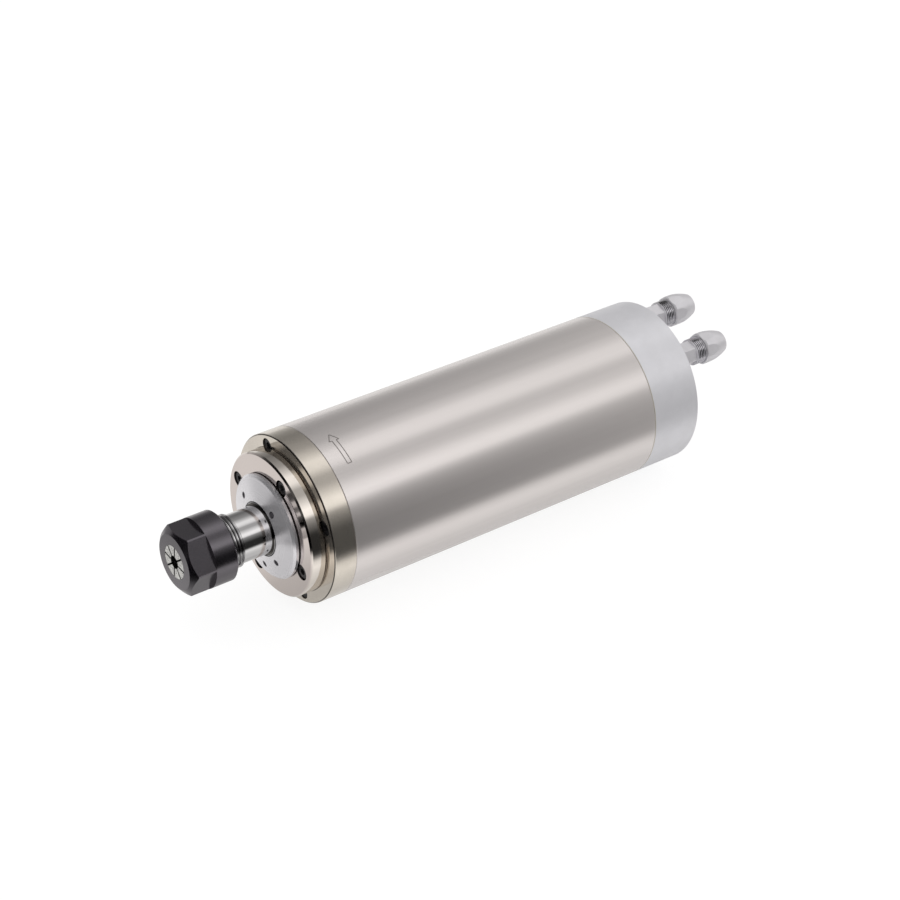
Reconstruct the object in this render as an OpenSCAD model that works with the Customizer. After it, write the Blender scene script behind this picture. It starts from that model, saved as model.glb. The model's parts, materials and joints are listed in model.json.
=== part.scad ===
// Water-cooled motor spindle with a collet chuck, for a machine that clamps it by its round body.
// The axis of the spindle is X: the nose points to -X, the rear cap to +X, and Z is up.
// The origin is on the axis, half way along the steel sleeve that the machine's clamp holds.
// Angles are counted round X from +Y towards +Z.

/* [Body] */
// Outer diameter of the body
body_d = 80; // [78:0.5:86]
// Length of the steel sleeve
sleeve_len = 171; // [168:1:190]
// Wall of the steel sleeve
sleeve_wall = 2.5; // [2:0.1:3.2]
// Length of the front flange that shows in front of the sleeve
flange_len = 11.5; // [10.5:0.5:14]
// Length of the rear cap
cap_len = 27; // [26:0.5:32]
// Chamfer on the outer edges at both ends of the body
edge_chamfer = 0.6; // [0.3:0.1:1]
// Chamfer on each edge where two outer pieces meet
seam_chamfer = 0.25; // [0.1:0.05:0.4]

/* [Fits] */
// Radial clearance between pieces that are located in each other
fit_gap = 0.05; // [0.03:0.01:0.08]
// Radial clearance between the rotor's plain surfaces and the fixed pieces round them
run_gap = 0.3; // [0.2:0.05:0.4]
// Clearance between surfaces that part when a screwed piece is undone
seat_gap = 0.08; // [0.05:0.01:0.1]

/* [Screws] */
// Thread diameter of the socket screws
screw_d = 4; // [3:0.5:4]
// Head diameter of the socket screws
screw_head_d = 7; // [6:0.1:7]
// Head length of the socket screws
screw_head_len = 4; // [3:0.1:4.2]
// Width across the flats of the screws' sockets
screw_key = 3; // [2.5:0.5:3]
// Depth of the screws' sockets
screw_key_depth = 2.2; // [1.5:0.1:2.6]
// Depth by which the screw heads lie below the face
screw_sink = 0.6; // [0.3:0.1:1]
// Length of thread that a screw has in its tapped hole
screw_grip = 7.5; // [6:0.5:8]

/* [Front flange] */
// Length of the flange's spigot inside the sleeve
spigot_len = 9; // [7:0.5:11]
// Clearance between the bearing nose and the cooling jacket
nose_gap = 1.65; // [1:0.05:2.5]
// Length of the lip behind the front bearings
lip_len = 4; // [3:0.5:5]
// Depth of the lip behind the front bearings
lip_depth = 2.5; // [2:0.1:3]
// Diameter of the counterbores for the flange's screws
flange_bore_d = 7.3; // [7.1:0.1:7.6]

/* [Front cover] */
// Distance of the cover's screws from the front bearings' outer surface
cover_screw_wall = 4; // [3.5:0.1:5]
// Width of the front cover outside the circle of its screws
cover_edge = 6.6; // [5:0.1:8]
// Length by which the cover stands in front of the flange
cover_len = 8.2; // [7.2:0.2:11]
// Chamfer on the cover's front edge
cover_chamfer = 0.8; // [0.4:0.1:1.2]
// Chamfer on the cover's back edge
cover_undercut = 1.1; // [0.6:0.1:1.5]
// Length of the ring that presses on the front bearing
press_len = 2; // [1.5:0.1:3]
// Wall of the ring that presses on the front bearing
press_wall = 3.4; // [2.5:0.1:3.4]
// Thickness left behind the labyrinth of the cover
cover_web = 4.4; // [3:0.2:5.5]
// Angle of the cover's first screw
cover_screw_angle = 24; // [0:1:89]
// Diameter of the counterbores for the cover's screws
cover_bore_d = 7.8; // [7.2:0.1:8]

/* [Dust disc] */
// Diameter of the dust disc
disc_d = 49.4; // [47:0.2:53]
// Thickness of the disc at its rim
disc_rim = 2.3; // [1.6:0.1:3]
// Height of the disc's shallow cone
disc_rise = 2.3; // [1.5:0.1:3]
// Chamfer on the disc's rim
disc_chamfer = 1; // [0.5:0.1:1.2]
// Gap between the disc and the cover
disc_gap = 0.5; // [0.4:0.1:1.2]
// Wall of the disc's hub
hub_wall = 1.7; // [1.4:0.1:1.9]
// Radius of the middle of the labyrinth ring
labyrinth_r = 19.2; // [18.6:0.1:20]
// Thickness of the labyrinth ring
labyrinth_wall = 1.8; // [1.4:0.1:2.2]
// Length by which the labyrinth ring enters the cover
labyrinth_depth = 1.4; // [0.8:0.1:2]
// Diameter of the balance drillings
balance_d = 2.3; // [1.8:0.1:2.6]
// Depth of the balance drillings
balance_depth = 1.6; // [1:0.1:2]

/* [Shaft] */
// Diameter of the shaft's neck
neck_d = 22.9; // [22:0.1:23]
// Length of the neck between the dust disc and the thread
neck_len = 14.7; // [12:0.5:20]
// Outer diameter of the nose thread
thread_d = 25; // [24.6:0.1:25]
// Pitch of the nose thread
thread_pitch = 1.5; // [1:0.25:2]
// Length of the nose thread
thread_len = 21; // [18:0.5:26]
// Depth of the collet's taper socket behind its mouth
socket_len = 25; // [24:0.5:30]
// Diameter of the relief bore behind the taper
relief_d = 12.6; // [11:0.2:13]
// Length of the relief bore
relief_len = 16; // [10:1:24]
// Diameter of the shoulder behind the front bearings
shoulder_d = 30.4; // [29:0.2:31]
// Length of the shoulder behind the front bearings
shoulder_len = 6; // [4:0.5:8]
// Diameter of the shoulder in front of the rear bearings
rear_shoulder_d = 19; // [18:0.5:20]

/* [Collet] */
// Length of the collet
collet_len = 31.5; // [31:0.1:32.5]
// Diameter of the collet's front face
collet_face_d = 15.8; // [15:0.1:16.4]
// Largest diameter of the collet's long taper
collet_d = 20.8; // [20:0.1:21]
// Half angle of the long taper
taper_angle = 8; // [7.5:0.1:8.5]
// Half angle of the collet's front cone
head_angle = 30; // [28:1:31]
// Length of the collet's head in front of its groove
head_len = 3.9; // [3.6:0.1:4.4]
// Length of the collet's groove
groove_len = 2.2; // [2:0.1:2.6]
// Diameter of the collet's groove
groove_d = 17.4; // [16.6:0.1:17.8]
// Bore of the collet, which grips the tool shank
collet_bore = 6; // [3:0.5:8]
// Number of slots that open at each end
collet_slots = 8; // [6:1:8]
// Width of the slots
slot_w = 0.7; // [0.5:0.05:0.8]
// Length left whole at the closed end of each slot
slot_end = 4; // [3:0.5:6]
// Angle of the first front slot
slot_angle = 7.5; // [0:0.5:44]
// Length by which the collet stands in front of the shaft
collet_proud = 7.8; // [7.4:0.1:8.4]

/* [Collet nut] */
// Diameter of the nut's collar
nut_d = 33; // [32:0.2:35]
// Length of the nut
nut_len = 22.8; // [20:0.2:24]
// Width of the nut across its flats
nut_af = 29; // [28.6:0.1:30]
// Length of the nut's flats
flat_len = 11.5; // [9:0.5:13]
// Diameter of the nut's front face
nut_face_d = 25.8; // [24:0.2:27]
// Length of the nut's front cone
nut_cone_len = 2.6; // [2:0.1:3]
// Angle of the nut's first corner
nut_corner_angle = 0; // [0:1:59]
// Inner diameter of the ring that pulls the collet out
pull_ring_d = 18.4; // [18:0.1:18.8]
// Length of the ring that pulls the collet out
pull_ring_len = 1.6; // [1.2:0.1:1.7]

/* [Front bearings] */
// Bore of the front bearings
front_id = 25; // [24.5:0.5:25]
// Outer diameter of the front bearings
front_od = 47; // [46.5:0.5:48]
// Width of each front bearing
front_w = 12; // [11:0.5:12.5]
// Ball diameter of the front bearings
front_ball_d = 6.35; // [5.8:0.05:6.4]
// Number of balls in each front bearing
front_balls = 13; // [9:1:13]
// Length of the spacers between the front bearings
spacer_len = 4; // [3:0.5:6]
// Wall of the spacers between the front bearings
spacer_wall = 2.9; // [2.2:0.1:3.1]

/* [Rear bearings] */
// Bore of the rear bearings
rear_id = 15; // [14:0.5:15.5]
// Outer diameter of the rear bearings
rear_od = 32; // [31.5:0.5:33]
// Width of each rear bearing
rear_w = 9; // [8.5:0.25:9.25]
// Ball diameter of the rear bearings
rear_ball_d = 4.76; // [4.4:0.02:4.8]
// Number of balls in each rear bearing
rear_balls = 11; // [8:1:11]
// Length of the preload springs between the housing and the rear bearings
preload_len = 3; // [2.6:0.1:3.4]
// Thickness of the preload springs' metal
preload_t = 0.7; // [0.5:0.05:0.8]
// Length of the nut that holds the rear bearings
lock_len = 5; // [4:0.25:5.2]
// Diameter of the nut that holds the rear bearings
lock_d = 25; // [24:0.5:28]

/* [Rear housing] */
// Length of the rear housing's disc inside the sleeve
housing_len = 12.5; // [10:0.5:14]
// Length of the housing's spigot in the rear cap
cap_spigot_len = 2.5; // [2:0.1:3.5]
// Wall of the hub round the rear bearings
housing_wall = 4; // [3:0.2:4.5]
// Length by which the rear bearings reach in front of the housing's disc
bearing_set = 2; // [1:0.25:3]
// Diameter of the hole for the lead wires
wire_hole_d = 7; // [6.6:0.2:7.6]
// Wall between the bearing hub and the hole for the lead wires
wire_wall = 0.8; // [0.6:0.1:1.5]

/* [Motor] */
// Length of the stator core
stator_len = 85; // [70:1:88]
// Number of stator slots
stator_slots = 24; // [12:6:24]
// Depth of the stator's yoke behind the slots
yoke = 4; // [3:0.25:6]
// Depth of the stator slots behind their lips
slot_depth = 7.5; // [5:0.05:8]
// Width of the stator slots
stator_slot_w = 3.2; // [2.6:0.1:3.4]
// Width of the stator slots' mouths
slot_mouth_w = 1.2; // [1:0.1:2]
// Height of the stator slots' lips
slot_lip = 2; // [1.5:0.1:2.5]
// Length of the windings' end turns
end_turn_len = 17; // [12:0.5:18]
// Gap between the bearing nose and the windings
motor_gap = 4; // [3:0.5:6]
// Air gap between stator and rotor
air_gap = 0.4; // [0.3:0.05:0.6]
// Length by which the rotor core is shorter than the stator core, at each end
rotor_short = 2; // [1:0.5:4]
// Thickness of the rotor core between its bore and its outside
rotor_wall = 4.6; // [4:0.1:6]
// Number of rotor bars
rotor_bars = 20; // [12:1:22]
// Width of the rotor bars
bar_w = 1.6; // [1.2:0.1:2]
// Depth of the rotor bars
bar_depth = 2.6; // [2:0.1:2.8]
// Length of the rotor cage's end rings
end_ring_len = 6; // [4:0.5:8]

/* [Cooling jacket] */
// Wall of the cooling jacket, its channels included
jacket_wall = 5.9; // [5.6:0.1:6.4]
// Number of water channels along the jacket
channels = 10; // [6:2:10]
// Depth of the water channels
channel_depth = 3; // [2.4:0.1:3.2]
// Width of the ribs between the channels
rib_w = 4; // [3:0.2:5]
// Width of the passages that join the channels
passage_w = 10; // [8:0.5:14]
// Length of the land at each end of the channels
land_len = 12.5; // [12:0.5:15]
// Thickness of the O-rings on the jacket
o_ring_d = 1.4; // [1.2:0.05:1.5]
// Diameter of the water ducts
duct_d = 3.2; // [2.8:0.1:3.4]
// Wall between the water ducts and the stator
duct_wall = 0.8; // [0.6:0.1:1]

/* [Rear cap] */
// Thickness of the rear cap's end wall
end_wall = 4.5; // [4:0.1:5]
// Clearance between the bearing hub and the rear cap's cavity
cavity_gap = 0.8; // [0.5:0.1:0.9]
// Thickness of the gasket under the rear cap
gasket_t = 0.5; // [0.4:0.05:0.8]
// Depth of the water pockets in the rear cap
pocket_depth = 3; // [2:0.2:4]
// Width of the water pockets in the rear cap
pocket_w = 6; // [5.4:0.2:6.4]
// Distance of the rear cap's screws from its outer surface
cap_screw_edge = 6; // [5:0.1:7]
// Angle of the rear cap's first screw
cap_screw_angle = 105; // [103:1:107]

/* [Water fittings] */
// Distance of the water inlet from the body's outer surface
inlet_edge = 10; // [9:0.5:12]
// Angle of the water inlet
inlet_angle = 78.8; // [74:0.2:82]
// Wall between the water outlet's thread and the rear cap's cavity
port_wall = 0.75; // [0.5:0.05:2]
// Angle of the water outlet
outlet_angle = 133; // [129:1:137]
// Diameter of the fittings' threads in the rear cap
port_d = 9.7; // [9:0.1:10]
// Length of the fittings' threads in the rear cap
port_len = 8; // [6:0.5:10]
// Thickness of the washers under the fittings
washer_t = 0.8; // [0.5:0.1:1.2]
// Length of the fittings' hexagons
fitting_hex_len = 11.2; // [9:0.2:13]
// Width across the flats of the fittings' hexagons
fitting_af = 10.6; // [10.4:0.1:11.6]
// Diameter of the fittings' fine threads
hose_thread_d = 13; // [12.6:0.1:13.2]
// Pitch of the fittings' fine threads
hose_pitch = 1; // [0.75:0.05:1.25]
// Length of the fittings' fine threads
hose_thread_len = 12.5; // [11.6:0.1:14]
// Bore of the water way
water_bore = 4.6; // [3:0.2:5]
// Diameter of the hose that fits in
hose_d = 8; // [7.6:0.1:8.2]
// Depth of the socket that the hose fits in
hose_socket = 7; // [5:0.5:8]

/* [Fitting nuts] */
// Length of fine thread that shows between hexagon and nut
thread_show = 5.8; // [5:0.2:7]
// Length of the fitting nuts
cap_nut_len = 13.8; // [13.4:0.1:16]
// Width across the flats of the fitting nuts
cap_nut_af = 14.6; // [14.2:0.1:15.2]
// Diameter over the fitting nuts' rounded corners
cap_nut_d = 15.6; // [15.4:0.1:16.4]
// Length over which the fitting nuts' ends are rounded
cap_nut_dome_len = 12; // [8:0.5:12.5]
// Radius that the rounding leaves at the fitting nuts' ends
cap_nut_end_r = 5.3; // [4.8:0.1:6]
// Length of the ferrules inside the nuts
ferrule_len = 3.4; // [3:0.1:3.8]
// Wall of the ferrules at their middle
ferrule_wall = 1.2; // [1:0.05:1.4]

/* [Connector] */
// Clearance between the connector's nut and the wall of the rear cap's cavity
shell_nut_gap = 0.35; // [0.2:0.05:1]
// Thread diameter of the connector's shell
shell_d = 16; // [15:0.5:16]
// Wall of the connector's shell
shell_wall = 1.4; // [1.2:0.1:1.6]
// Length of the shell in front of the rear face
shell_len = 11; // [9:0.5:13]
// Diameter of the shell's collar
collar_d = 21; // [20:0.2:24]
// Thickness of the shell's collar
collar_len = 2.5; // [2:0.1:3.5]
// Diameter of the nut inside the rear cap
shell_nut_d = 19; // [18.4:0.2:20]
// Thickness of the nut inside the rear cap
shell_nut_len = 2.5; // [2:0.1:3]
// Pitch circle diameter of the contact pins
pin_pcd = 7.4; // [7:0.1:8]
// Diameter of the contact pins
pin_d = 1.5; // [1:0.1:1.6]
// Length of the contact pins inside the socket
pin_len = 5.5; // [4:0.5:6]
// Depth of the open socket
socket_depth = 7.5; // [6.5:0.5:8]
// Diameter of the lead wires
wire_d = 1.8; // [1.4:0.1:1.9]

/* [Hidden] */
$fn = 96;
eps = 0.01;

// Balance drillings in the dust disc, each as radius and angle
balance_holes = [[17.5, 35], [15.6, 128], [16.6, 228], [19, 269]];
screw_count = 4;
contact_pins = 4;
pair_gap = 0.1;

body_r = body_d / 2;
sleeve_ir = body_r - sleeve_wall;
sleeve_x0 = -sleeve_len / 2;
sleeve_x1 = sleeve_len / 2;
face_x = sleeve_x0 - flange_len;
rear_x = sleeve_x1 + cap_len;
located_r = sleeve_ir - fit_gap;
jacket_ir = located_r - jacket_wall;
stator_r = jacket_ir - fit_gap;

// Stations of the front bearings and the flange
press_x = face_x + press_len;
front_x1 = press_x + 2 * front_w + spacer_len;
nose_x1 = front_x1 + lip_len;
jacket_x0 = sleeve_x0 + spigot_len;
nose_r = jacket_ir - nose_gap;
flange_screw_r = (located_r + jacket_ir) / 2;
head_seat = screw_sink + screw_head_len;

// Stations of the cover, the dust disc and the nose of the shaft
cover_x0 = face_x - cover_len;
cover_screw_r = front_od / 2 + cover_screw_wall;
cover_r = cover_screw_r + cover_edge;
disc_x1 = cover_x0 - disc_gap;
disc_x0 = disc_x1 - disc_rim;
disc_top_x = disc_x0 - disc_rise;
hub_r = front_id / 2 + fit_gap + hub_wall;
thread_x1 = disc_top_x - neck_len;
thread_x0 = thread_x1 - thread_len;
collet_x0 = thread_x0 - collet_proud;

// Stations of the rear housing and the rear bearings
jacket_x1 = sleeve_x1 - housing_len;
housing_x1 = sleeve_x1 + cap_spigot_len;
rear_b_x0 = jacket_x1 - bearing_set;
rear_b_x1 = rear_b_x0 + 2 * rear_w + pair_gap;
shaft_x1 = rear_b_x1 + lock_len;
housing_x0 = rear_b_x0 - preload_len - 3;
housing_hub_r = rear_od / 2 + fit_gap + housing_wall;
cavity_r = housing_hub_r + cavity_gap;
cavity_x1 = rear_x - end_wall;
cap_screw_r = body_r - cap_screw_edge;
cap_seat_x = housing_x1 + gasket_t;
pocket_x1 = cap_seat_x + pocket_depth;

// Stations of the motor
stator_x0 = nose_x1 + motor_gap + end_turn_len;
stator_x1 = stator_x0 + stator_len;
rotor_x0 = stator_x0 + rotor_short;
rotor_x1 = stator_x1 - rotor_short;
slot_r1 = stator_r - yoke;
slot_r0 = slot_r1 - slot_depth;
stator_bore_r = slot_r0 - slot_lip;
rotor_r = stator_bore_r - air_gap;
rotor_seat_r = rotor_r - rotor_wall;

// Water channels, ducts and ports
channel_x0 = jacket_x0 + land_len;
channel_x1 = jacket_x1 - land_len;
channel_r = located_r - channel_depth;
o_ring_groove_w = o_ring_d + 0.8;
o_ring_groove_r = sleeve_ir - o_ring_d - 2 * fit_gap;
duct_r = jacket_ir + duct_wall + duct_d / 2;
duct_entry = 3;
port_radii = [body_r - inlet_edge, cavity_r + fit_gap + port_d / 2 + port_wall];
port_angles = [inlet_angle, outlet_angle];
channel_step = (360 - outlet_angle + inlet_angle) / (channels - 1);

// Fittings, counted from the rear face
fitting_hex_x0 = washer_t;
hose_thread_x0 = fitting_hex_x0 + fitting_hex_len;
fitting_end = hose_thread_x0 + hose_thread_len;
cap_nut_x0 = hose_thread_x0 + thread_show;
cap_nut_x1 = cap_nut_x0 + cap_nut_len;
hose_r = hose_d / 2;
socket_r = hose_r + fit_gap;
ferrule_ir = socket_r + fit_gap;
ferrule_or = ferrule_ir + ferrule_wall;
ferrule_x0 = fitting_end - ferrule_wall + seat_gap;
ferrule_x1 = ferrule_x0 + ferrule_len;

// Connector and lead wires
connector_angle = cap_screw_angle + 135;
connector_r = cavity_r - shell_nut_d / 2 - shell_nut_gap;
shell_ir = shell_d / 2 - shell_wall;
shell_x0 = cavity_x1 - shell_nut_len - 0.5;
shell_x1 = rear_x + shell_len;
insert_x1 = shell_x1 - socket_depth;
pin_x0 = shell_x0 - 1.5;
wire_hole_r = wire_hole_d / 2;
wire_r = housing_hub_r + wire_hole_r + wire_wall;
wire_knee_x = max(shaft_x1, housing_x1) + 2;

// Stands a shape that is built along Z on the spindle's axis, with its base at x
module along(x = 0) {
    translate([x, 0, 0]) rotate([90, 0, 90]) children();
}

// Moves a shape that lies on the axis out to radius r at an angle
module out_to(r, angle) {
    rotate([angle, 0, 0]) translate([0, r, 0]) children();
}

// Repeats a shape evenly round the axis
module round_axis(count, first = 0) {
    for (k = [0 : count - 1]) rotate([first + k * 360 / count, 0, 0]) children();
}

// Tube from x, with its outer and inner radius
module tube(x, len, r_out, r_in) {
    along(x) rotate_extrude() translate([r_in, 0]) square([r_out - r_in, len]);
}

// Solid of revolution from points of radius and x
module turned(points) {
    along() rotate_extrude() polygon(points);
}

// Straight round bar or hole along the axis
module bar(x, len, r) {
    along(x) cylinder(r = r, h = len);
}

// Straight round bar between two points
module rod(a, b, r) {
    d = b - a;
    translate(a) rotate([0, acos(d[2] / norm(d)), atan2(d[1], d[0])]) cylinder(r = r, h = norm(d));
}

// Points of a row of V-shaped thread ridges, from x0 on
function ridges(x0, len, r, pitch, depth) = [
    for (k = [0 : floor(len / pitch) - 1])
        for (p = [[r - depth, 0.03], [r, 0.42], [r, 0.58], [r - depth, 0.97]]) [p[0], x0 + (k + p[1]) * pitch]
];

// Socket screw with the underside of its head at the origin and its shank towards +X
module socket_screw(shank_len) {
    difference() {
        turned([
            [0, -screw_head_len], [screw_head_d / 2 - 0.4, -screw_head_len],
            [screw_head_d / 2, -screw_head_len + 0.4], [screw_head_d / 2, 0],
            [screw_d / 2 - fit_gap, 0], [screw_d / 2 - fit_gap, shank_len - 0.5],
            [screw_d / 2 - 0.5, shank_len], [0, shank_len]
        ]);
        along(-screw_head_len - eps) cylinder(d = screw_key / cos(30), h = screw_key_depth, $fn = 6);
    }
}

// Cut for a socket screw whose head seat is at the origin
module screw_cut(bore_d, head_room, clear_len, tapped_len = 0) {
    bar(-head_room, head_room, bore_d / 2);
    bar(-eps, clear_len + eps, screw_d / 2 + 0.15);
    if (tapped_len > 0) bar(clear_len - eps, tapped_len, screw_d / 2);
}

// Front flange: visible ring, spigot in the sleeve and the nose that holds the front bearings
module front_flange() {
    color([0.72, 0.69, 0.63])
    difference() {
        turned([
            [front_od / 2 + fit_gap, face_x], [body_r - edge_chamfer, face_x], [body_r, face_x + edge_chamfer],
            [body_r, sleeve_x0 - seam_chamfer], [body_r - seam_chamfer, sleeve_x0], [located_r, sleeve_x0],
            [located_r, jacket_x0], [nose_r, jacket_x0], [nose_r, nose_x1 - 1], [nose_r - 1, nose_x1],
            [front_od / 2 - lip_depth, nose_x1], [front_od / 2 - lip_depth, front_x1],
            [front_od / 2 + fit_gap, front_x1]
        ]);
        round_axis(screw_count, cover_screw_angle + 45) translate([face_x + head_seat, flange_screw_r, 0])
            screw_cut(flange_bore_d, head_seat + 1, jacket_x0 - face_x);
        round_axis(screw_count, cover_screw_angle) translate([face_x, cover_screw_r, 0])
            bar(-1, screw_grip + 2, screw_d / 2);
    }
}

// Screws that draw the flange to the cooling jacket
module flange_screws() {
    color([0.16, 0.16, 0.17])
    round_axis(screw_count, cover_screw_angle + 45)
        translate([face_x + head_seat, flange_screw_r, 0])
            socket_screw(jacket_x0 + screw_grip - face_x - head_seat);
}

// Front cover: polished boss with a labyrinth and a ring that presses on the front bearing
module front_cover() {
    bore_r = hub_r + run_gap;
    web_x = cover_x0 + labyrinth_depth + disc_gap;
    seat_r = front_od / 2 - fit_gap;
    color([0.76, 0.73, 0.69])
    difference() {
        turned([
            [bore_r, cover_x0], [labyrinth_r - labyrinth_wall / 2 - run_gap, cover_x0],
            [labyrinth_r - labyrinth_wall / 2 - run_gap, web_x], [labyrinth_r + labyrinth_wall / 2 + run_gap, web_x],
            [labyrinth_r + labyrinth_wall / 2 + run_gap, cover_x0], [cover_r - cover_chamfer, cover_x0],
            [cover_r, cover_x0 + cover_chamfer], [cover_r, face_x - cover_undercut],
            [cover_r - cover_undercut, face_x], [seat_r, face_x], [seat_r, press_x],
            [seat_r - press_wall, press_x], [seat_r - press_wall, web_x + cover_web], [bore_r, web_x + cover_web]
        ]);
        round_axis(screw_count, cover_screw_angle) translate([cover_x0 + head_seat, cover_screw_r, 0])
            screw_cut(cover_bore_d, head_seat + 1, cover_len - head_seat + 1);
    }
}

// Screws that hold the front cover to the flange
module cover_screws() {
    color([0.16, 0.16, 0.17])
    round_axis(screw_count, cover_screw_angle)
        translate([cover_x0 + head_seat, cover_screw_r, 0])
            socket_screw(cover_len - head_seat + screw_grip);
}

// Ground steel sleeve, the surface that the machine clamps
module body_sleeve() {
    color([0.77, 0.75, 0.73])
    turned([
        [sleeve_ir, sleeve_x0], [body_r - seam_chamfer, sleeve_x0], [body_r, sleeve_x0 + seam_chamfer],
        [body_r, sleeve_x1 - seam_chamfer], [body_r - seam_chamfer, sleeve_x1], [sleeve_ir, sleeve_x1]
    ]);
}

// Rib of the cooling jacket, between two stations at an angle
module jacket_rib(x0, x1, angle) {
    top_r = sqrt(pow(located_r - fit_gap, 2) - pow(rib_w / 2, 2));
    rotate([angle, 0, 0]) translate([x0, channel_r - 1, -rib_w / 2]) cube([x1 - x0, top_r - channel_r + 1, rib_w]);
}

// Cooling jacket: ribs send the water to and fro, from one port round to the other
module cooling_jacket() {
    groove_a = o_ring_stations()[0];
    groove_b = o_ring_stations()[1];
    color([0.80, 0.81, 0.83])
    difference() {
        union() {
            turned([
                [jacket_ir, jacket_x0], [located_r, jacket_x0], [located_r, groove_a], [o_ring_groove_r, groove_a],
                [o_ring_groove_r, groove_a + o_ring_groove_w], [located_r, groove_a + o_ring_groove_w],
                [located_r, channel_x0], [channel_r, channel_x0], [channel_r, channel_x1], [located_r, channel_x1],
                [located_r, groove_b], [o_ring_groove_r, groove_b], [o_ring_groove_r, groove_b + o_ring_groove_w],
                [located_r, groove_b + o_ring_groove_w], [located_r, jacket_x1], [jacket_ir, jacket_x1]
            ]);
            for (k = [-1 : channels - 1]) {
                open_front = k % 2 == 0 && k < channels - 1;
                open_rear = k % 2 == 1;
                jacket_rib(open_front ? channel_x0 + passage_w : channel_x0 - 1,
                    open_rear ? channel_x1 - passage_w : channel_x1 + 1,
                    port_angles[1] + (k + 0.5) * channel_step);
            }
        }
        round_axis(screw_count, cover_screw_angle + 45) translate([jacket_x0, flange_screw_r, 0])
            bar(-1, screw_grip + 2, screw_d / 2);
        for (a = port_angles) out_to(duct_r, a)
            bar(channel_x1 - duct_entry, duct_entry + land_len + 1, duct_d / 2);
    }
}

function o_ring_stations() = [channel_x0 - o_ring_groove_w - 1, channel_x1 + 3];

// O-rings that seal the water space against the sleeve
module jacket_o_rings() {
    color([0.10, 0.10, 0.11])
    for (x = o_ring_stations())
        along(x + o_ring_groove_w / 2) rotate_extrude()
            translate([sleeve_ir - fit_gap - o_ring_d / 2, 0]) circle(d = o_ring_d);
}

// Cross-section of the stator's laminations
module stator_section() {
    difference() {
        circle(r = stator_r);
        circle(r = stator_bore_r);
        for (k = [0 : stator_slots - 1]) rotate(k * 360 / stator_slots) {
            translate([slot_r0, -stator_slot_w / 2]) square([slot_r1 - slot_r0, stator_slot_w]);
            translate([stator_bore_r - 1, -slot_mouth_w / 2]) square([slot_lip + 2, slot_mouth_w]);
        }
    }
}

// Laminated stator core
module stator_core() {
    color([0.42, 0.43, 0.45])
    along(stator_x0) linear_extrude(stator_len) stator_section();
}

// Windings: conductors in the slots, joined by the end turns
module stator_windings() {
    wire_fill = stator_slot_w - 4 * fit_gap;
    r0 = slot_r0 + 2 * fit_gap;
    r1 = slot_r1 - 2 * fit_gap;
    color([0.72, 0.38, 0.18]) {
        for (k = [0 : stator_slots - 1]) rotate([k * 360 / stator_slots, 0, 0])
            translate([stator_x0 - 1, r0, -wire_fill / 2]) cube([stator_len + 2, r1 - r0, wire_fill]);
        for (x = [stator_x0 - end_turn_len, stator_x1])
            turned([
                [r0, x], [slot_r1, x], [slot_r1 + 1.5, x + 2], [slot_r1 + 1.5, x + end_turn_len - 2],
                [slot_r1, x + end_turn_len], [r0, x + end_turn_len]
            ]);
    }
}

// Section of an inner bearing ring, counted from the bearing's front face
module inner_section(id, od, w, ball_d) {
    pitch_r = (id + od) / 4;
    difference() {
        translate([id / 2 + fit_gap, 0]) square([pitch_r - 0.3 * ball_d - id / 2 - fit_gap, w]);
        translate([pitch_r, w / 2]) circle(d = ball_d + 2 * fit_gap);
    }
}

// Section of an outer bearing ring
module outer_section(id, od, w, ball_d) {
    pitch_r = (id + od) / 4;
    difference() {
        translate([pitch_r + 0.3 * ball_d, 0]) square([od / 2 - pitch_r - 0.3 * ball_d, w]);
        translate([pitch_r, w / 2]) circle(d = ball_d + 2 * fit_gap);
    }
}

// Balls of one bearing whose front face is at x
module balls(x, id, od, w, ball_d, count) {
    round_axis(count) translate([x + w / 2, (id + od) / 4, 0]) sphere(d = ball_d);
}

// Cage of one bearing: a ring with a round pocket through it for each ball
module cage(x, id, od, w, ball_d, count) {
    pitch_r = (id + od) / 4;
    half_wall = 0.15 * ball_d;
    cage_w = min(w - 0.6, 1.45 * ball_d);
    difference() {
        tube(x + (w - cage_w) / 2, cage_w, pitch_r + half_wall, pitch_r - half_wall);
        round_axis(count) translate([x + w / 2, pitch_r - half_wall - 1, 0]) rotate([-90, 0, 0])
            cylinder(d = ball_d + 4 * fit_gap, h = 2 * half_wall + 2);
    }
}

front_stations = [press_x, press_x + front_w + spacer_len];
rear_stations = [rear_b_x0, rear_b_x0 + rear_w + pair_gap];

module front_outer_rings() {
    color([0.66, 0.67, 0.70])
    for (x = front_stations) along(x) rotate_extrude() outer_section(front_id, front_od, front_w, front_ball_d);
}

module front_inner_rings() {
    color([0.66, 0.67, 0.70])
    for (x = front_stations) along(x) rotate_extrude() inner_section(front_id, front_od, front_w, front_ball_d);
}

module front_balls_set() {
    color([0.80, 0.81, 0.83])
    for (x = front_stations) balls(x, front_id, front_od, front_w, front_ball_d, front_balls);
}

module front_cages() {
    color([0.62, 0.45, 0.25])
    for (x = front_stations) cage(x, front_id, front_od, front_w, front_ball_d, front_balls);
}

// Spacers that keep the two front bearings apart
module front_outer_spacer() {
    color([0.60, 0.61, 0.63])
    tube(press_x + front_w, spacer_len, front_od / 2, front_od / 2 - spacer_wall);
}

module front_inner_spacer() {
    color([0.60, 0.61, 0.63])
    tube(press_x + front_w, spacer_len, front_id / 2 + fit_gap + spacer_wall, front_id / 2 + fit_gap);
}

module rear_outer_rings() {
    color([0.66, 0.67, 0.70])
    for (x = rear_stations) along(x) rotate_extrude() outer_section(rear_id, rear_od, rear_w, rear_ball_d);
}

module rear_inner_rings() {
    color([0.66, 0.67, 0.70])
    for (x = rear_stations) along(x) rotate_extrude() inner_section(rear_id, rear_od, rear_w, rear_ball_d);
}

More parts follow.
